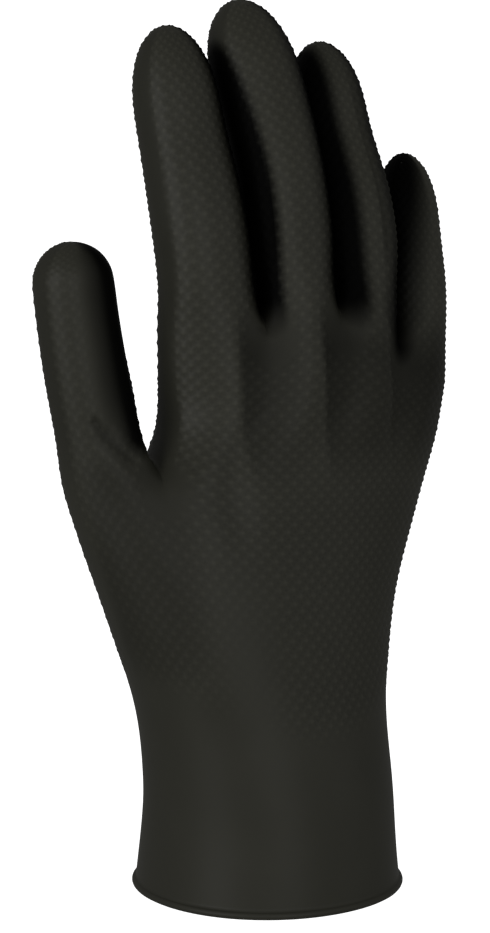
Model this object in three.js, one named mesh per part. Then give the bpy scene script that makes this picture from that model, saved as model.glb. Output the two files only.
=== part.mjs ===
// A work glove of dipped nitrile rubber for the right hand, in millimetres.
//
// The glove is one seamless skin, as it comes off its former. An outer face and an inner face lie one
// wall apart, and the rolled bead of the hem closes them into one solid. It stands as if a hand filled
// it: +Z runs from the hem to the fingertips, -X is the thumb's side and -Y the back of the hand. The
// origin is the middle of the cuff's mouth, level with the bottom of the bead.
//
// The skin is a net of four-sided cells, so every part of it is a ring of points carried upwards. A ring
// runs along the back from the thumb's side to the little finger's, around that side, back along the
// palm and around the thumb's side. Where limbs part, a chain of points across the ring is their web.

import * as THREE from 'three';

// Skin
const WALL = 1;
const BEAD = 2;

// Hand, from the hem to the webs between the fingers
const HAND_HEIGHT = 150;
const HAND_WIDTH = 85;
const HAND_DEPTH = 34;
const THUMB_FORK_HEIGHT = 107;
const GROOVE_DEPTH = 4.6;
const GROOVE_LENGTH = 50;
const THUMB_GROOVE_LENGTH = 17;
const WEB_RISE = 5;

// Fingers, each from its root to its tip
const FINGER_WIDTH = 23;
const FINGER_DEPTH = 20.5;
const THUMB_LENGTH = 63;
const INDEX_LENGTH = 81;
const MIDDLE_LENGTH = 83;
const RING_LENGTH = 76;
const LITTLE_LENGTH = 55;

// Net, and the rounds in which the skin around a web is eased over so many cells
const CELL = 7.5;
const ARC_CELLS = 4;
const SIDE_CELLS = 4;
const EASE_ROUNDS = 3;
const EASE_CELLS = 2;

// Sections of the lower hand, from the hem up to where the thumb parts. at is the height as a share of
// THUMB_FORK_HEIGHT, wide and across are shares of HAND_WIDTH, deep, fore and arch of HAND_DEPTH. turn
// swings the thumb's end of the section towards the palm, in degrees.
const LOWER_HAND = [
  { at: 0.0, wide: 0.815, deep: 2.04, across: 0.005, fore: 0.0, arch: 0.0, turn: 0, square: 2.05 },
  { at: 0.06, wide: 0.798, deep: 2.0, across: 0.005, fore: 0.0, arch: 0.0, turn: 0, square: 2.05 },
  { at: 0.14, wide: 0.785, deep: 1.93, across: 0.008, fore: 0.0, arch: 0.0, turn: 0, square: 2.05 },
  { at: 0.25, wide: 0.778, deep: 1.84, across: 0.008, fore: 0.0, arch: 0.0, turn: -1, square: 2.05 },
  { at: 0.45, wide: 0.8, deep: 1.64, across: -0.008, fore: 0.03, arch: 0.02, turn: -3, square: 2.1 },
  { at: 0.7, wide: 0.955, deep: 1.43, across: -0.028, fore: 0.08, arch: 0.06, turn: -5, square: 2.15 },
  { at: 0.87, wide: 1.11, deep: 1.25, across: -0.02, fore: 0.12, arch: 0.1, turn: -6, square: 2.2 },
  { at: 1.0, wide: 1.225, deep: 1.12, across: -0.008, fore: 0.15, arch: 0.14, turn: -7, square: 2.2 },
];

// Sections of the palm, from where the thumb parts up to the webs. at is the share of the way.
const UPPER_HAND = [
  { at: 0.0, wide: 0.91, deep: 1.07, across: 0.158, fore: 0.13, arch: 0.16, turn: -6, square: 2.35 },
  { at: 0.25, wide: 0.955, deep: 1.02, across: 0.178, fore: 0.11, arch: 0.18, turn: -4, square: 2.35 },
  { at: 0.55, wide: 1.0, deep: 0.93, across: 0.19, fore: 0.09, arch: 0.2, turn: -3, square: 2.4 },
  { at: 1.0, wide: 1.05, deep: 0.76, across: 0.2, fore: 0.05, arch: 0.22, turn: -3, square: 2.4 },
];

// Limbs in their order along a ring. girth is the limb's width as a share of FINGER_WIDTH. web is the
// height of the web on its far side, as a share of HAND_HEIGHT. out and bend are the lean away from the
// thumb and towards the palm, at the two knuckles and the tip, as shares of the length. tip is the width
// where the rounded end begins and dome the height of that end, both as shares of the girth.
const LIMBS = [
  {
    name: 'thumb', length: THUMB_LENGTH, girth: 0.93, web: 0, tip: 0.98, dome: 0.5,
    out: [-0.078, -0.112, -0.132], bend: [0.04, 0.07, 0.09],
  },
  {
    name: 'index', length: INDEX_LENGTH, girth: 1.055, web: 0.955, tip: 0.92, dome: 0.88,
    out: [-0.034, -0.04, -0.045], bend: [0.05, 0.145, 0.21],
  },
  {
    name: 'middle', length: MIDDLE_LENGTH, girth: 1.0, web: 0.975, tip: 1.01, dome: 0.92,
    out: [-0.01, -0.02, -0.045], bend: [0.05, 0.155, 0.28],
  },
  {
    name: 'ring', length: RING_LENGTH, girth: 0.95, web: 0.905, tip: 0.92, dome: 0.86,
    out: [0.0, 0.0, 0.0], bend: [0.05, 0.175, 0.25],
  },
  {
    name: 'little', length: LITTLE_LENGTH, girth: 0.82, web: 0.865, tip: 0.9, dome: 1.0,
    out: [0.045, 0.075, 0.1], bend: [0.08, 0.15, 0.22],
  },
];

// Heights of the two knuckles and the tip, as shares of a limb's length.
const KNUCKLES = [0.42, 0.72, 1];

// Width added at a limb's root, as a share of its girth, and the share of its stem where its taper starts.
const ROOT_FLARE = 0.04;
const TAPER_START = 0.5;

// The grooves of the palm as a share of those of the back, and how narrow a groove is: 1 is a plain V.
const PALM_GROOVE = 0.6;
const GROOVE_NARROWING = 1.7;

// How far the index finger's near side lies below its web, as a share of HAND_HEIGHT.
const NEAR_SIDE_DROP = 0.015;

// Heights of the rings on the dome of a tip, in degrees.
const DOME_RINGS = [18, 36, 54];
const LIMB_SQUARE = 2.25;

// Height above its root, in cells, over which a limb takes its own section.
const BLEND_CELLS = 2.6;
const WEB_BLEND_CELLS = 2;
const PALM_BLEND_CELLS = 4;

const radians = THREE.MathUtils.degToRad;

// Reads one column of a table of sections as a smooth curve through its rows.
function read(table, key, at) {
  const last = table.length - 1;
  let i = 0;
  while (i < last - 1 && table[i + 1].at < at) {
    i += 1;
  }
  const slope = (row) => {
    const below = table[Math.max(row - 1, 0)];
    const above = table[Math.min(row + 1, last)];
    return (above[key] - below[key]) / (above.at - below.at);
  };
  const low = table[i];
  const high = table[i + 1];
  const span = high.at - low.at;
  const t = THREE.MathUtils.clamp((at - low.at) / span, 0, 1);
  const rise = t * t * (3 - 2 * t);
  const lead = t * (1 - t) * (1 - t) * slope(i) * span;
  const tail = t * t * (1 - t) * slope(i + 1) * span;
  return low[key] + (high[key] - low[key]) * rise + lead - tail;
}

// The outline of a section of the hand, from the middle of the thumb's side along the back.
function outline(table, at) {
  const halfWidth = (read(table, 'wide', at) * HAND_WIDTH) / 2;
  const halfDepth = (read(table, 'deep', at) * HAND_DEPTH) / 2;
  const arch = read(table, 'arch', at) * HAND_DEPTH;
  const power = 2 / read(table, 'square', at);
  const turn = radians(read(table, 'turn', at));
  const across = read(table, 'across', at) * HAND_WIDTH;
  const centre = new THREE.Vector2(across, read(table, 'fore', at) * HAND_DEPTH);
  const steps = 240;
  const points = [];
  for (let i = 0; i <= steps; i += 1) {
    const angle = Math.PI + (2 * Math.PI * i) / steps;
    const c = Math.cos(angle);
    const s = Math.sin(angle);
    const x = Math.sign(c) * Math.abs(c) ** power;
    const y = Math.sign(s) * Math.abs(s) ** power;
    const point = new THREE.Vector2(x * halfWidth, y * halfDepth + arch * (x * x - 0.5));
    points.push(point.rotateAround(new THREE.Vector2(0, 0), turn).add(centre));
  }
  return points;
}

// The point at a share of the way around an outline.
function along(points, share) {
  const lengths = [0];
  for (let i = 1; i < points.length; i += 1) {
    lengths.push(lengths[i - 1] + points[i].distanceTo(points[i - 1]));
  }
  const goal = (share - Math.floor(share)) * lengths[lengths.length - 1];
  let i = 1;
  while (lengths[i] < goal) {
    i += 1;
  }
  const t = (goal - lengths[i - 1]) / (lengths[i] - lengths[i - 1]);
  return points[i - 1].clone().lerp(points[i], t);
}

// Shares of a ring's way around at its points: each limb's stretch of back and palm is as long as the
// limb is wide, and the two sides are as long as a finger is deep.
function ringShares(limbs) {
  const stretches = limbs.map((limb) => limb.girth * FINGER_WIDTH);
  const spans = [...stretches, FINGER_DEPTH, ...stretches.slice().reverse(), FINGER_DEPTH];
  const total = spans.reduce((sum, span) => sum + span, 0);
  const shares = [];
  let start = FINGER_DEPTH / 2;
  spans.forEach((span, i) => {
    const cells = i === limbs.length || i === spans.length - 1 ? SIDE_CELLS : ARC_CELLS;
    for (let k = 0; k < cells; k += 1) {
      shares.push((start + (span * k) / cells) / total);
    }
    start += span;
  });
  return shares;
}

// How far each point of a ring lies in the grooves between the limbs: 1 at a groove, 0 on a ridge. The
// grooves of the palm are shallower than those of the back.
function grooveShares(count) {
  const back = count * ARC_CELLS;
  const palmStart = back + SIDE_CELLS;
  const total = 2 * back + 2 * SIDE_CELLS;
  const shares = [];
  for (let k = 0; k < total; k += 1) {
    const onPalm = k > palmStart && k < palmStart + back;
    const step = onPalm ? k - palmStart : k;
    const inside = onPalm || (k > 0 && k < back);
    const way = (step % ARC_CELLS) / ARC_CELLS;
    const first = step < ARC_CELLS / 2;
    const last = step > back - ARC_CELLS / 2;
    const depth = inside && !first && !last ? Math.abs(2 * way - 1) ** GROOVE_NARROWING : 0;
    shares.push(onPalm ? -PALM_GROOVE * depth : depth);
  }
  return shares;
}

// The net of the outer face
const points = [];
const cells = [];

function addRing(places) {
  return places.map((place) => points.push(place) - 1);
}

function stitch(low, high) {
  low.forEach((point, k) => {
    const next = (k + 1) % low.length;
    cells.push([point, low[next], high[next], high[k]]);
  });
}

// Parts a ring into the ring of its first limb and the ring of the others, with their web between.
const webs = [];

function part(ring, count) {
  const palmRoot = ring.length - SIDE_CELLS - ARC_CELLS;
  const back = points[ring[ARC_CELLS]];
  const front = points[ring[palmRoot]];
  const chain = [];
  for (let k = 1; k < SIDE_CELLS; k += 1) {
    const t = k / SIDE_CELLS;
    const place = back.clone().lerp(front, t);
    place.z += WEB_RISE * Math.sin(Math.PI * t);
    chain.push(place);
  }
  const web = addRing(chain);
  webs.push(ring[ARC_CELLS], ...web, ring[palmRoot]);
  const first = [...ring.slice(0, ARC_CELLS + 1), ...web, ...ring.slice(palmRoot)];
  const others = [...ring.slice(ARC_CELLS, palmRoot + 1), ...web.slice().reverse()];
  return [first, others, count - 1];
}

// Lower hand, from the bead to the fork of the thumb
const lowerShares = ringShares(LIMBS);
const lowerGrooves = grooveShares(LIMBS.length);
const lowerRows = Math.round((THUMB_FORK_HEIGHT - BEAD) / CELL);

function lowerPoint(k, height) {
  const place = along(outline(LOWER_HAND, height / THUMB_FORK_HEIGHT), lowerShares[k]);
  const start = THUMB_FORK_HEIGHT - THUMB_GROOVE_LENGTH;
  const fade = THREE.MathUtils.smoothstep(height, start, THUMB_FORK_HEIGHT);
  const webOfThumb = k < 2 * ARC_CELLS || k > lowerShares.length - SIDE_CELLS - 2 * ARC_CELLS;
  const depth = webOfThumb ? GROOVE_DEPTH * fade : 0;
  return new THREE.Vector3(place.x, place.y + lowerGrooves[k] * depth, height);
}

let ring = null;
let hemRing = null;
for (let row = 0; row <= lowerRows; row += 1) {
  const height = THREE.MathUtils.lerp(BEAD, THUMB_FORK_HEIGHT, row / lowerRows);
  const next = addRing(lowerShares.map((share, k) => lowerPoint(k, height)));
  if (ring) {
    stitch(ring, next);
  } else {
    hemRing = next;
  }
  ring = next;
}

// Palm, from the fork of the thumb to the webs of the fingers. It leaves the fork in the direction in
// which the lower hand arrives there, and then takes its own sections.
const fingers = LIMBS.slice(1);
const rowBelow = new Map(ring.map((point, k) => [point, ring[k] - ring.length]));
const [thumbRoot, palmRoot] = part(ring, LIMBS.length);
const upperShares = ringShares(fingers);
const upperGrooves = grooveShares(fingers.length);
const upperRows = Math.round((HAND_HEIGHT - THUMB_FORK_HEIGHT) / CELL);

// Height of the palm's last ring at its points, level on the sides and sloping from web to web.
const upperHeights = (() => {
  const backs = [LIMBS[1].web - NEAR_SIDE_DROP, ...fingers.map((finger) => finger.web)];
  const heights = backs.map((share) => share * HAND_HEIGHT);
  const back = [];
  fingers.forEach((finger, i) => {
    for (let k = 0; k < ARC_CELLS; k += 1) {
      back.push(THREE.MathUtils.lerp(heights[i], heights[i + 1], k / ARC_CELLS));
    }
  });
  const far = heights[fingers.length];
  const farSide = new Array(SIDE_CELLS).fill(far);
  const nearSide = new Array(SIDE_CELLS).fill(heights[0]);
  return [...back, ...farSide, far, ...back.slice(1).reverse(), ...nearSide];
})();

function upperPoint(k, rise) {
  const root = points[palmRoot[k]];
  const height = THREE.MathUtils.lerp(root.z, upperHeights[k], rise);
  const level = (height - THUMB_FORK_HEIGHT) / (HAND_HEIGHT - THUMB_FORK_HEIGHT);
  const place = along(outline(UPPER_HAND, level), upperShares[k]);
  const fade = THREE.MathUtils.smoothstep(height, upperHeights[k] - GROOVE_LENGTH, upperHeights[k]);
  place.y += upperGrooves[k] * GROOVE_DEPTH * fade;
  const blend = rowBelow.has(palmRoot[k]) ? PALM_BLEND_CELLS : WEB_BLEND_CELLS;
  const own = THREE.MathUtils.smoothstep(rise * upperRows, 0, blend);
  const carried = root.clone().setZ(height);
  if (rowBelow.has(palmRoot[k])) {
    const slope = root.clone().sub(points[rowBelow.get(palmRoot[k])]);
    carried.addScaledVector(slope, (height - root.z) / slope.z).setZ(height);
  }
  return carried.lerp(new THREE.Vector3(place.x, place.y, height), own);
}

ring = palmRoot;
for (let row = 1; row <= upperRows; row += 1) {
  const next = addRing(palmRoot.map((point, k) => upperPoint(k, row / upperRows)));
  stitch(ring, next);
  ring = next;
}

// A limb from the ring at its root to its tip, along a curve through its knuckles.
function limb(root, spec) {
  const centre = root.reduce((sum, k) => sum.add(points[k]), new THREE.Vector3()).divideScalar(root.length);
  const halfWidth = (spec.girth * FINGER_WIDTH) / 2;
  const halfDepth = (spec.girth * FINGER_DEPTH) / 2;
  const stations = KNUCKLES.map((at, i) => {
    const shift = new THREE.Vector3(spec.out[i], spec.bend[i], at).multiplyScalar(spec.length);
    return centre.clone().add(shift);
  });
  const path = new THREE.CatmullRomCurve3([centre, ...stations]);
  const dome = spec.dome * spec.girth * FINGER_WIDTH;
  const stem = 1 - dome / path.getLength();
  const place = (t, angle, tilt) => {
    const c = Math.abs(Math.cos(angle));
    const s = Math.abs(Math.sin(angle));
    const flare = ROOT_FLARE * (1 - t / stem) ** 2;
    const size = 1 + flare + (spec.tip - 1) * THREE.MathUtils.smoothstep(t / stem, TAPER_START, 1);
    const round = (c / halfWidth) ** LIMB_SQUARE + (s / halfDepth) ** LIMB_SQUARE;
    const reach = size * round ** (-1 / LIMB_SQUARE);
    const tangent = path.getTangentAt(t);
    const side = new THREE.Vector3(0, 1, 0).cross(tangent).normalize();
    const front = tangent.clone().cross(side);
    return path
      .getPointAt(t)
      .addScaledVector(side, Math.cos(angle) * reach * Math.cos(tilt))
      .addScaledVector(front, Math.sin(angle) * reach * Math.cos(tilt))
      .addScaledVector(tangent, dome * Math.sin(tilt));
  };
  const angleOf = (k) => radians(-135 + (360 * k) / root.length);
  const rows = Math.round((stem * path.getLength()) / CELL);
  let below = root;
  for (let row = 1; row <= rows; row += 1) {
    const t = (stem * row) / rows;
    const own = THREE.MathUtils.smoothstep(row, 0, BLEND_CELLS);
    const places = root.map((point, k) => {
      const carried = points[point].clone().add(path.getPointAt(t)).sub(centre);
      return carried.lerp(place(t, angleOf(k), 0), own);
    });
    const next = addRing(places);
    stitch(below, next);
    below = next;
  }
  DOME_RINGS.forEach((degrees) => {
    const next = addRing(root.map((point, k) => place(stem, angleOf(k), radians(degrees))));
    stitch(below, next);
    below = next;
  });
  closeTip(below, (angle, tilt) => place(stem, angle, tilt));
}

// Closes the last ring of a dome with a square patch of cells.
function closeTip(rim, place) {
  const n = ARC_CELLS;
  const last = DOME_RINGS[DOME_RINGS.length - 1];
  const patch = [];
  for (let row = 0; row <= n; row += 1) {
    patch.push(new Array(n + 1).fill(-1));
  }
  for (let k = 0; k < n; k += 1) {
    patch[0][k] = rim[k];
    patch[k][n] = rim[n + k];
    patch[n][n - k] = rim[2 * n + k];
    patch[n - k][0] = rim[3 * n + k];
  }
  for (let row = 1; row < n; row += 1) {
    for (let column = 1; column < n; column += 1) {
      const u = (2 * column) / n - 1;
      const v = (2 * row) / n - 1;
      const outward = Math.max(Math.abs(u), Math.abs(v));
      const tilt = radians(90 - (90 - last) * outward);
      patch[row][column] = addRing([place(Math.atan2(v, u), tilt)])[0];
    }
  }
  for (let row = 0; row < n; row += 1) {
    for (let column = 0; column < n; column += 1) {
      cells.push([
        patch[row][column],
        patch[row][column + 1],
        patch[row + 1][column + 1],
        patch[row + 1][column],
      ]);
    }
  }
}

limb(thumbRoot, LIMBS[0]);
let rest = ring;
fingers.forEach((finger, i) => {
  let root = rest;
  if (i < fingers.length - 1) {
    [root, rest] = part(rest, fingers.length - i);
  }
  limb(root, finger);
});

// Neighbours of each point of the net
function neighbours() {
  const sets = points.map(() => new Set());
  cells.forEach((cell) => {
    cell.forEach((point, k) => {
      const next = cell[(k + 1) % 4];
      sets[point].add(next);
      sets[next].add(point);
    });
  });
  return sets;
}

// Eases the skin around the webs, where a stretched rubber skin has no edge.
function easeWebs(rounds, reach) {
  const near = neighbours();
  let eased = new Set(webs);
  for (let step = 0; step < reach; step += 1) {
    const wider = new Set(eased);
    eased.forEach((point) => near[point].forEach((other) => wider.add(other)));
    eased = wider;
  }
  for (let round = 0; round < rounds; round += 1) {
    const moved = new Map();
    eased.forEach((point) => {
      const mean = new THREE.Vector3();
      near[point].forEach((other) => mean.add(points[other]));
      moved.set(point, points[point].clone().lerp(mean.divideScalar(near[point].size), 0.5));
    });
    moved.forEach((place, point) => points[point].copy(place));
  }
}

easeWebs(EASE_ROUNDS, EASE_CELLS);

// Outward directions of the outer face at its points
function directions() {
  const sums = points.map(() => new THREE.Vector3());
  cells.forEach(([a, b, c, d]) => {
    const across = points[c].clone().sub(points[a]);
    const other = points[d].clone().sub(points[b]);
    const normal = across.cross(other);
    [a, b, c, d].forEach((point) => sums[point].add(normal));
  });
  return sums.map((sum) => sum.normalize());
}

// Joins the outer face, the bead and the inner face into one closed skin.
function skinGeometry() {
  const outward = directions();
  const corners = points.map((point) => point.clone());
  const faces = cells.map((cell) => cell.slice());
  const inner = points.map((point, k) => {
    const place = point.clone().addScaledVector(outward[k], -WALL);
    return corners.push(place) - 1;
  });
  cells.forEach(([a, b, c, d]) => faces.push([inner[d], inner[c], inner[b], inner[a]]));
  const roll = BEAD / 2;
  let above = hemRing;
  for (let degrees = 45; degrees >= -180; degrees -= 45) {
    const next = hemRing.map((point) => {
      const out = new THREE.Vector3(outward[point].x, outward[point].y, 0).normalize();
      const reach = roll - WALL + roll * Math.cos(radians(degrees));
      const place = points[point].clone().addScaledVector(out, reach);
      place.z = roll + roll * Math.sin(radians(degrees));
      return corners.push(place) - 1;
    });
    next.forEach((point, k) => {
      const after = (k + 1) % next.length;
      faces.push([point, next[after], above[after], above[k]]);
    });
    above = next;
  }
  above.forEach((point, k) => {
    const after = (k + 1) % above.length;
    faces.push([inner[hemRing[k]], inner[hemRing[after]], above[after], point]);
  });
  const positions = corners.flatMap((corner) => corner.toArray());
  const index = faces.flatMap(([a, b, c, d]) => {
    const short = corners[a].distanceTo(corners[c]) < corners[b].distanceTo(corners[d]);
    return short ? [a, b, c, a, c, d] : [a, b, d, b, c, d];
  });
  const geometry = new THREE.BufferGeometry();
  geometry.setAttribute('position', new THREE.Float32BufferAttribute(positions, 3));
  geometry.setIndex(index);
  geometry.computeVertexNormals();
  return geometry;
}

const nitrile = new THREE.MeshStandardMaterial({ color: 0x232320, roughness: 0.5, metalness: 0 });
const skin = new THREE.Mesh(skinGeometry(), nitrile);
skin.name = 'glove_skin';

const glove = new THREE.Group();
glove.name = 'glove';
glove.add(skin);

export default glove;
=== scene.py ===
import math
import bmesh
import bpy
import numpy as np
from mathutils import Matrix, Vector
from mathutils.bvhtree import BVHTree
from mathutils.kdtree import KDTree


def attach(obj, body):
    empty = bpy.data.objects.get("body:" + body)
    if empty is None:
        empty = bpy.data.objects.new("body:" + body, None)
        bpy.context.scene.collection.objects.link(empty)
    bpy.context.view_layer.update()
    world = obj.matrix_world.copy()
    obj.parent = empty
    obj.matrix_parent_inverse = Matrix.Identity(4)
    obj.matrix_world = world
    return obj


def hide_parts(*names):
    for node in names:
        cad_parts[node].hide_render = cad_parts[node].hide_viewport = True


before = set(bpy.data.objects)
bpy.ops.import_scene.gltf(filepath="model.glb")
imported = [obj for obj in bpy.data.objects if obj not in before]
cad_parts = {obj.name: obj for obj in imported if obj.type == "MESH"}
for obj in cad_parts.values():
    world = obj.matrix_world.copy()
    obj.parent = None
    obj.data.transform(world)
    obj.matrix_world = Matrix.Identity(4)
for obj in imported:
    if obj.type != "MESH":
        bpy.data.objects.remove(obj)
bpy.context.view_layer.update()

# Glove skin. One seamless film of black nitrile, dipped on a former shaped as a slightly bent right hand.
# The former's back and palm are cut with staggered pits, so the film comes off with a raised grain there,
# and is smooth on the cuff, along the sides of the fingers and below each web. Its hem is rolled up.
skin_wall = 0.001
hem_roll = 0.001
skin_net = bmesh.new()
skin_net.from_mesh(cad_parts["glove_skin"].data)
bmesh.ops.remove_doubles(skin_net, verts=skin_net.verts, dist=2e-6)
bmesh.ops.join_triangles(
    skin_net,
    faces=skin_net.faces,
    angle_face_threshold=3.1,
    angle_shape_threshold=3.1,
    topology_influence=2.0,
)
rolled = [f for f in skin_net.faces if max(v.co.z for v in f.verts) < 2.2 * hem_roll]
bmesh.ops.delete(skin_net, geom=rolled, context="FACES")


def sides_of_skin(net):
    """The points of the skin's outer side and of its inner side."""
    found, sides = set(), []
    for start in net.verts:
        if start in found or not start.link_faces:
            continue
        found.add(start)
        side = [start]
        for point in side:
            for edge in point.link_edges:
                other = edge.other_vert(point)
                if other not in found:
                    found.add(other)
                    side.append(other)
        sides.append(side)
    return sorted(sides, key=lambda side: min(v.co.x for v in side))


# The outer side is the net to work on. Where its triangles haven't all paired up into four-sided cells, the
# inner side's cells are used, moved out onto its points.
outer_side, inner_side = sides_of_skin(skin_net)
if all(len(f.verts) == 4 for v in outer_side for f in v.link_faces):
    bmesh.ops.delete(skin_net, geom=inner_side, context="VERTS")
else:
    outer_places = KDTree(len(outer_side))
    for i, point in enumerate(outer_side):
        outer_places.insert(point.co, i)
    outer_places.balance()
    for point in inner_side:
        point.co = outer_places.find(point.co - point.normal * skin_wall)[0]
    bmesh.ops.delete(skin_net, geom=outer_side, context="VERTS")
    bmesh.ops.reverse_faces(skin_net, faces=skin_net.faces)
skin_net.normal_update()
web_ends = [v.co.copy() for v in skin_net.verts if len(v.link_edges) == 6]
web_ends.sort(key=lambda place: place.x)


def smoothed(net, levels):
    """The mesh of the net's smooth surface, in which the net's own points come first."""
    data = bpy.data.meshes.new("smoothed")
    net.to_mesh(data)
    thing = bpy.data.objects.new("smoothed", data)
    bpy.context.collection.objects.link(thing)
    surface = thing.modifiers.new("surface", "SUBSURF")
    surface.levels = surface.render_levels = levels
    bpy.context.view_layer.update()
    result = bpy.data.meshes.new_from_object(thing.evaluated_get(bpy.context.evaluated_depsgraph_get()))
    bpy.data.objects.remove(thing)
    bpy.data.meshes.remove(data)
    return result


# The net is loosened a little, so that the smooth surface passes close to the points it had.
loosening = 0.6
net_places = [v.co.copy() for v in skin_net.verts]
smooth_skin = smoothed(skin_net, 1)
for point, place, passed in zip(skin_net.verts, net_places, smooth_skin.vertices):
    point.co += loosening * (place - passed.co)
lining_net = skin_net.copy()
smooth_skin = bmesh.new()
smooth_skin.from_mesh(smoothed(skin_net, 3))
skin_surface = BVHTree.FromBMesh(smooth_skin)
smooth_skin.free()

# The points slide along the surface until the cells are even, apart from those at the hem, webs and tips.
tip_reach = 0.008
slide_rounds = 60
held = {v for v in skin_net.verts if v.is_boundary}
tip_corners = [v.co.copy() for v in skin_net.verts if len(v.link_edges) == 3 and not v.is_boundary]
held |= {v for v in skin_net.verts if min((v.co - corner).length for corner in tip_corners) < tip_reach}
for back, front in zip(web_ends[0::2], web_ends[1::2]):
    for share in (0.0, 0.25, 0.5, 0.75, 1.0):
        spot = back.lerp(front, share)
        held.add(min(skin_net.verts, key=lambda v: (v.co - spot).length))
sliding = [(v, [e.other_vert(v) for e in v.link_edges]) for v in skin_net.verts if v not in held]
for turn in range(slide_rounds):
    moved = [v.co.lerp(sum((n.co for n in near), Vector()) / len(near), 0.5) for v, near in sliding]
    for (point, near), place in zip(sliding, moved):
        point.co = skin_surface.find_nearest(place)[0]


def around_edges(net):
    """The edges that run around the glove: those of the hem, and all that lie across a cell from another."""
    row = [e for e in net.edges if e.is_boundary]
    found = set(row)
    for edge in row:
        for face in edge.link_faces:
            across = next(e for e in face.edges if not set(e.verts) & set(edge.verts))
            if across not in found:
                found.add(across)
                row.append(across)
    return row


def column(point):
    """The edges of the line that goes up the glove from a point of the hem, and the point where it ends."""
    edge = next(e for e in point.link_edges if not e.is_boundary)
    line = [edge]
    point = edge.other_vert(point)
    while len(point.link_edges) == 4:
        edge = next(e for e in point.link_edges if not set(e.link_faces) & set(edge.link_faces))
        line.append(edge)
        point = edge.other_vert(point)
    return line, point


# Cells of the grain, about 2 mm each way: five for every two cells around, and four for each one along.
bmesh.ops.subdivide_edges(skin_net, edges=around_edges(skin_net), cuts=4, use_grid_fill=True)
hem = [next(v for v in skin_net.verts if v.is_boundary and not column(v)[1].is_boundary)]
while True:
    ahead = [e.other_vert(hem[-1]) for e in hem[-1].link_edges if e.is_boundary]
    ahead = [v for v in ahead if v not in hem[-2:] and v is not hem[0]]
    if not ahead:
        break
    hem.append(ahead[0])
spare = dict.fromkeys(e for v in hem[1::2] for e in column(v)[0])
bmesh.ops.dissolve_edges(skin_net, edges=list(spare), use_verts=True)
crosswise = set(around_edges(skin_net))
lengthwise = [e for e in skin_net.edges if e not in crosswise]
bmesh.ops.subdivide_edges(skin_net, edges=lengthwise, cuts=3, use_grid_fill=True)

# Every second point of these cells is a grain's top, and the others are the pits between.
cover_layer = skin_net.verts.layers.float.new("covered")
grain_layer = skin_net.verts.layers.float.new("grain")
# A layer for the painted shade between the parts, and for the darker cuff and sides
painted_shade_and_tone_layer = skin_net.verts.layers.float.new("painted_shade_and_tone")
first = next(v for v in skin_net.verts if v.is_boundary)
tops = {first: 1.0}
queue = [first]
for point in queue:
    for edge in point.link_edges:
        other = edge.other_vert(point)
        if other not in tops:
            tops[other] = -tops[point]
            queue.append(other)
for point, top in [(v, tops[v]) for v in skin_net.verts]:
    point[grain_layer] = top
bmesh.ops.subdivide_edges(skin_net, edges=skin_net.edges, cuts=1, use_grid_fill=True)


slope_share = 0.38
saddle_share = 0.12


def grain_shape(point):
    """Share of the grain's height at a point: a top, a pit, the slope between them, or a saddle."""
    if abs(point[grain_layer]) == 1:
        return max(point[grain_layer], 0.0)
    beside = any(abs(e.other_vert(point)[grain_layer]) == 1 for e in point.link_edges)
    return slope_share if beside else saddle_share


skin_net.verts.index_update()
grain = np.array([grain_shape(v) for v in skin_net.verts])
for face in list(skin_net.faces):
    slopes = [v for v in face.verts if grain[v.index] == slope_share]
    if len(slopes) == 2:
        bmesh.utils.face_split(face, *slopes)
for point in skin_net.verts:
    point.co = skin_surface.find_nearest(point.co)[0]
skin_net.normal_update()
places = np.array([v.co for v in skin_net.verts])
normals = np.array([v.normal for v in skin_net.verts])


def step(low, high, value):
    """0 below low, 1 above high, and smooth between them."""
    t = np.clip((value - low) / (high - low), 0, 1)
    return t * t * (3 - 2 * t)


# The skin's bearing is 0 degrees where it faces away from the palm, and 90 towards the little finger's side.
x, y, z = places.T
bearing = np.degrees(np.arctan2(normals[:, 0], -normals[:, 1]))
sideways = np.abs(normals[:, 0]) / np.hypot(normals[:, 0], normals[:, 1]).clip(1e-6)
on_thumb = x < -0.036
web_backs = web_ends[2::2]
over_web = z - np.interp(x, [place.x for place in web_backs], [place.z for place in web_backs])

# Where the grain is: off the cuff, off the sides of the fingers and hand, and off a patch below each web.
# It is also weak at the heel of the thumb and on the thumb's side of the hand.
cuff_line = 0.045 + 0.014 * np.clip(np.abs(x) / 0.035, 0, 1) ** 2
covered = step(-0.005, 0.006, z - cuff_line)
covered *= 1 - step(np.where(on_thumb, 0.97, 0.92), np.where(on_thumb, 1.0, 0.975), sideways)
heel = np.exp(-(((x + 0.019) / 0.01) ** 2)) * (1 - step(0.062, 0.105, z)) * (1 - step(-0.004, 0.004, y))
thumb_strip = step(-26, -10, bearing) * on_thumb * step(0.118, 0.13, z)
covered *= (1 - 0.9 * heel) * (1 - thumb_strip) * (1 - 0.3 * step(0.026, 0.04, -x))
web_patch = (0.0065, 0.012, 0.009)
for place in web_ends:
    away = (places - place) / web_patch
    covered *= step(0.8, 1.15, np.linalg.norm(away, axis=1))
grain_height = 0.0004
grain *= covered

# Painted shade: the sides that neighbouring fingers turn to each other are painted near-black down to the
# webs, as the deep shade between the fingers. First the sides towards the little finger, which end in a round
# above each web.
gap_middles = (web_backs[0].x, web_backs[1].x + 0.0025, web_backs[2].x)
off_middle = np.abs(x[:, None] - gap_middles).min(axis=1)
over_round = over_web - 0.004 * (off_middle / 0.005).clip(0, 1.3) ** 2
little_drop = 0.005
painted_shade_and_tone = step(2, 48, bearing) * (x > -0.027) * (1 - step(0.035, 0.042, x))
painted_shade_and_tone *= step(-0.006, 0.008, over_round + little_drop * step(0.026, 0.032, x))
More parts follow.
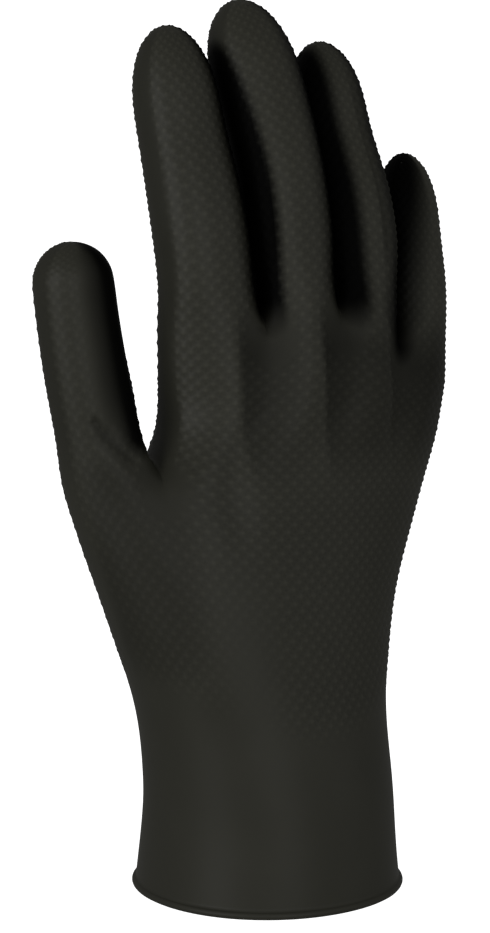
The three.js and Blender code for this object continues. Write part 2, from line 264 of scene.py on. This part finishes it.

# Then the sides towards the thumb. The painted shadow's edge lies so far past the web's back end, leans so
# much with the height and curls in so much above the knuckle. It is so soft, and goes on so far below the
# web.
knuckle_height = 0.17
grain_bite = 0.0003
below_web = 1 - step(-0.003, 0.003, over_web)
for back, (reach, lean, curl, softness, drop) in zip(
    web_backs,
    (
        (0.0047, 0.0, 1.73, 0.0012, 0.0),
        (0.0088, 0.0, 0.0, 0.0022, 0.0),
        (0.0044, 0.31, 0.0, 0.0055, little_drop),
    ),
):
    edge = x - back.x - reach - lean * (z - back.z) + curl * (z - knuckle_height).clip(0) ** 2
    edge += grain_bite * (grain - 0.4)
    facing = 1 - step(6, 20, bearing) * (1 - below_web)
    facing *= step(-0.003, 0, x - back.x + 0.003 + 0.003 * below_web)
    strip = (1 - step(-softness, softness, edge)) * facing * step(-0.006, 0.008, over_round + drop)
    painted_shade_and_tone = np.maximum(painted_shade_and_tone, strip)
# Painted shade in the cleft of the little finger's web
little_web_shade = (places - web_backs[2] - (-0.0002, 0, 0.0026)) / (0.006, 0.012, 0.0085)
painted_shade_and_tone = np.maximum(painted_shade_and_tone, 1.02 * np.exp(-(little_web_shade**2).sum(axis=1))).clip(0, 1)

# Painted shade on the thumb's side towards the index finger, down to the line where the thumb leaves the hand
thumb_root = np.interp(x, (-0.0488, -0.0427, -0.0384, -0.0334), (0.1256, 0.1178, 0.1162, 0.1148))
thumb_side_shade = step(-24, 18, bearing) * (1 - step(-0.0365, -0.0325, x)) * step(-0.002, 0.005, z - thumb_root)
off_palm = 1 - step(128, 150, np.abs(bearing))
painted_shade_and_tone = np.maximum(painted_shade_and_tone, 0.97 * thumb_side_shade) * off_palm

# Below each web a hollow runs down the back between the fingers' ridges, steep on its thumb side. It starts
# so far before the web and ends so far past it, and shade is painted on the skin for so far past the web.
hollow = np.zeros(len(x))
valley_shade = np.zeros(len(x))
for back, (before, past, far_past) in zip(
    web_backs, ((0.0102, 0.0005, 0.014), (0.0097, 0.0029, 0.0379), (0.0082, 0.0033, 0.0633))
):
    start = back.x - before
    rise = step(start, start + 0.0026, x)
    hollow = np.maximum(hollow, rise * (1 - step(start + 0.003, back.x + past, x)))
    valley_shade = np.maximum(valley_shade, rise * (1 - step(start + 0.004, back.x + far_past, x)))
fall = np.interp(z, (0.102, 0.111, 0.117, 0.13, 0.142), (0, 0.2, 0.36, 0.52, 0.64))
fall *= (1 - step(-0.006, 0.012, over_web)) * (1 - step(55, 85, np.abs(bearing)))
fall *= 1 + 0.25 * step(0.032, 0.042, x)
hollow *= fall
painted_shade_and_tone = np.maximum(painted_shade_and_tone, 0.9 * valley_shade * fall)

# The skin is made a little darker at the thumb's heel, on the outer sides of the fingers and on the smooth
# cuff.
thumb_heel = step(0.02, 0.036, -x) * step(0.05, 0.07, z)
thumb_heel *= (1 - step(0.112, 0.122, z)) * (1 - step(0.002, 0.01, y))
painted_shade_and_tone = np.maximum(painted_shade_and_tone, 0.28 * thumb_heel)
painted_shade_and_tone = np.maximum(painted_shade_and_tone, 0.24 * step(0.9, 0.975, sideways) * step(0.095, 0.125, z))
painted_shade_and_tone = np.maximum(painted_shade_and_tone, 0.1 - 0.1 * step(0.1, 0.125, z) * covered)

# A short pinched crease in the film at the thumb's root, which runs out in a soft fold to the web; shade is
# painted into it
crease_start = (-0.0492, 0.0042, 0.1263)
crease_end = (-0.0468, 0.0030, 0.1228)
fold_end = (-0.0415, 0.0004, 0.1172)
fold = np.zeros(len(x))
for start, end, width in ((crease_start, crease_end, 0.0011), (crease_end, fold_end, 0.0026)):
    start, along = np.array(start), np.array(end) - np.array(start)
    share = ((places - start) @ along / (along @ along)).clip(0, 1)
    away = np.linalg.norm(places - start - share[:, None] * along, axis=1) / width
    fold = np.maximum(fold, np.exp(-(away**2)))
painted_shade_and_tone = np.maximum(painted_shade_and_tone, 0.42 * fold)

# The relief itself. The notch under the thumb's web is filled up a little.
fill_height = 0.002
hollow_depth = 0.0008
fold_depth = 0.0009
notch = (places - web_ends[0] - (0.0019, -0.0038, -0.0008)) / (0.006, 0.008, 0.009)
fill = np.exp(-(notch**2).sum(axis=1))
places += normals * (fill_height * fill - hollow_depth * hollow - fold_depth * fold)[:, None]
places += normals * (grain * grain_height)[:, None]
for point, place, height, cover, side in zip(skin_net.verts, places, grain, covered, painted_shade_and_tone):
    point.co = place
    point[painted_shade_and_tone_layer] = side
    point[grain_layer] = height
    point[cover_layer] = cover

# The hem's roll, carried round from the skin's lower edge: its outline starts 70 degrees above the outermost
# point, and goes down and inwards in steps of 20 degrees until it meets the lining's side.
roll_edges = [e for e in skin_net.edges if e.is_boundary]
roll_out = {v: Vector((v.normal.x, v.normal.y, 0)).normalized() for e in roll_edges for v in e.verts}
roll_at = {v: v.co.copy() for v in roll_out}
for degrees in range(70, -200, -20):
    extruded = bmesh.ops.extrude_edge_only(skin_net, edges=roll_edges)["geom"]
    roll_edges = [g for g in extruded if isinstance(g, bmesh.types.BMEdge) and g.is_boundary]
    turned = math.radians(max(degrees, -180))
    ahead_out, ahead_at = {}, {}
    for point in {v for e in roll_edges for v in e.verts}:
        start = next(v for v in (e.other_vert(point) for e in point.link_edges) if v in roll_out)
        out, at = roll_out[start], roll_at[start]
        reach = hem_roll - skin_wall + hem_roll * math.cos(turned)
        point.co = Vector((at.x, at.y, hem_roll + hem_roll * math.sin(turned))) + reach * out
        ahead_out[point], ahead_at[point] = out, at
    roll_out, roll_at = ahead_out, ahead_at

# The skin's inner side, one wall inside the outer one
lining_net.normal_update()
for point, inward in [(v, -v.normal.copy()) for v in lining_net.verts]:
    point.co += skin_wall * inward
bmesh.ops.reverse_faces(lining_net, faces=lining_net.faces)
lining = smoothed(lining_net, 1)
lining_net.free()
known = set(skin_net.verts)
skin_net.from_mesh(lining)
lining_edges = [e for e in skin_net.edges if e.is_boundary and e.verts[0] not in known]
bmesh.ops.bridge_loops(skin_net, edges=roll_edges + lining_edges)
for face in skin_net.faces:
    face.smooth = True
    face.material_index = 0

skin_mesh = bpy.data.meshes.new("glove_skin_surface")
skin_net.to_mesh(skin_mesh)
skin_net.free()
skin = bpy.data.objects.new("glove_skin_surface", skin_mesh)
bpy.context.collection.objects.link(skin)


class Wire:
    """A socket of a material's node tree. Arithmetic on it adds Math nodes."""

    def __init__(self, tree, socket=None):
        self.tree = tree
        self.socket = socket

    def node(self, kind, settings, values, output=0):
        made = self.tree.nodes.new(kind)
        for name, value in settings.items():
            setattr(made, name, value)
        for name, value in values.items():
            if isinstance(value, Wire):
                self.tree.links.new(value.socket, made.inputs[name])
            else:
                made.inputs[name].default_value = value
        return Wire(self.tree, made.outputs[output])

    def math(self, operation, one, other=0.0):
        return self.node("ShaderNodeMath", {"operation": operation}, {0: one, 1: other})

    def __add__(self, other):
        return self.math("ADD", self, other)

    def __mul__(self, other):
        return self.math("MULTIPLY", self, other)

    def __sub__(self, other):
        return self.math("SUBTRACT", self, other)

    def __rsub__(self, other):
        return self.math("SUBTRACT", other, self)

    __radd__ = __add__
    __rmul__ = __mul__

    def between(self, low, high):
        """0 below low, 1 above high, and smooth between them."""
        limits = {"From Min": low, "From Max": high}
        smooth = {"interpolation_type": "SMOOTHSTEP"}
        return self.node("ShaderNodeMapRange", smooth, {"Value": self, **limits})

    def mixed(self, dark, light):
        """One colour where this is 0 and the other where it is 1."""
        colours = [colour if isinstance(colour, Wire) else (*colour, 1) for colour in (dark, light)]
        return self.node("ShaderNodeMix", {"data_type": "RGBA"}, {0: self, 6: colours[0], 7: colours[1]}, 2)


# Satin black nitrile, a little cloudy in tone, with painted highlights on the grain's tops and painted shade
# in its pits.
# Where shade is painted between the parts, the skin is nearly black and has no coat; the cuff and sides are a
# little darker.
shaded_pit_tone = (0.0181, 0.018, 0.0132)
lit_top_tone = (0.0328, 0.0324, 0.0244)
shade_and_tone_black = (0.0005, 0.0005, 0.0004)
mean_grain = 0.35
nitrile = bpy.data.materials.new("nitrile")
nitrile.use_nodes = True
shader = nitrile.node_tree.nodes["Principled BSDF"]
wire = Wire(nitrile.node_tree)
at = wire.node("ShaderNodeTexCoord", {}, {}, "Object")
grain_top = wire.node("ShaderNodeAttribute", {"attribute_name": "grain"}, {}, "Fac")
clouds = wire.node("ShaderNodeTexNoise", {}, {"Vector": at, "Scale": 45.0, "Detail": 3.0, "Roughness": 0.6})
specks = wire.node("ShaderNodeTexNoise", {}, {"Vector": at, "Scale": 900.0, "Detail": 2.0, "Roughness": 0.5})
# The painted shade between the parts, with the darker cuff and sides, mixes the colour towards near-black
painted_shade_and_tone_factor = wire.node("ShaderNodeAttribute", {"attribute_name": "painted_shade_and_tone"}, {}, "Fac")
grain_cover = wire.node("ShaderNodeAttribute", {"attribute_name": "covered"}, {}, "Fac")
# Painted highlight on the grain's tops and painted shade in its pits, with a cloudy tone that varies at
# random
light = 0.4 + 1.1 * (grain_top - mean_grain * grain_cover) + 0.14 * clouds.between(0.35, 0.7)
tone = painted_shade_and_tone_factor.mixed(light.mixed(shaded_pit_tone, lit_top_tone), shade_and_tone_black)
nitrile.node_tree.links.new(tone.socket, shader.inputs["Base Color"])
rough = 0.6 + 0.08 * (clouds - 0.5) - 0.05 * grain_top
nitrile.node_tree.links.new(rough.socket, shader.inputs["Roughness"])
relief = wire.node("ShaderNodeBump", {}, {"Strength": 0.35, "Distance": 0.00008, "Height": specks})
nitrile.node_tree.links.new(relief.socket, shader.inputs["Normal"])
sheen = 0.25 * (1 - painted_shade_and_tone_factor)
nitrile.node_tree.links.new(sheen.socket, shader.inputs["Coat Weight"])
shader.inputs["Coat Roughness"].default_value = 0.5
shader.inputs["Specular IOR Level"].default_value = 0.02
skin_mesh.materials.clear()
skin_mesh.materials.append(nitrile)

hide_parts("glove_skin")
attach(skin, "root")

# Floor. A plain sheet of white paper, far wider than the view. It glows a little, so that it looks even, and
# throws no light back on the glove.
floor_net = bmesh.new()
bmesh.ops.create_grid(floor_net, x_segments=1, y_segments=1, size=40)
floor_mesh = bpy.data.meshes.new("floor")
floor_net.to_mesh(floor_mesh)
floor_net.free()
floor = bpy.data.objects.new("floor", floor_mesh)
bpy.context.collection.objects.link(floor)
paper = bpy.data.materials.new("paper")
paper.use_nodes = True
paper_shader = paper.node_tree.nodes["Principled BSDF"]
paper_shader.inputs["Base Color"].default_value = (0.6, 0.6, 0.6, 1)
paper_shader.inputs["Roughness"].default_value = 0.9
paper_shader.inputs["Emission Color"].default_value = (1, 1, 1, 1)
paper_shader.inputs["Emission Strength"].default_value = 1.1
floor_mesh.materials.append(paper)
floor.visible_diffuse = False
floor.visible_glossy = False

# Studio. A camera at the photo's angle, and three large soft lights: a strong one at the thumb's side, one
# in front and a weak one at the right, in a room that is otherwise dim.
looked_at = Vector((0, 0, 0.116))


def stand(thing, azimuth, elevation, distance):
    """Puts a thing at that bearing from the glove's middle, facing it. 0 degrees is in front of its back."""
    bpy.context.collection.objects.link(thing)
    turn, rise = math.radians(azimuth), math.radians(elevation)
    level = math.cos(rise)
    outwards = Vector((level * math.sin(turn), -level * math.cos(turn), math.sin(rise)))
    thing.location = looked_at + distance * outwards
    thing.rotation_euler = (-outwards).to_track_quat("-Z", "Y").to_euler()


camera_data = bpy.data.cameras.new("camera")
camera = bpy.data.objects.new("camera", camera_data)
stand(camera, -35, 9.5, 0.9)
camera_data.sensor_width = 36
camera_data.lens = 134.6
camera_data.shift_x = -0.0225
camera_data.shift_y = -0.0209
camera_data.clip_end = 100
bpy.context.scene.camera = camera

for name, azimuth, power in (("left_light", -80, 19.5), ("front_light", -15, 10.5), ("right_light", 40, 3.2)):
    lamp = bpy.data.lights.new(name, "AREA")
    lamp.shape = "RECTANGLE"
    lamp.size, lamp.size_y = 0.8, 1.4
    lamp.energy = power
    stand(bpy.data.objects.new(name, lamp), azimuth, 8, 1.8)

room = bpy.data.worlds.new("room")
bpy.context.scene.world = room
room.use_nodes = True
room.node_tree.nodes["Background"].inputs["Color"].default_value = (1, 1, 1, 1)
room.node_tree.nodes["Background"].inputs["Strength"].default_value = 0.31
bpy.context.scene.view_settings.view_transform = "Standard"
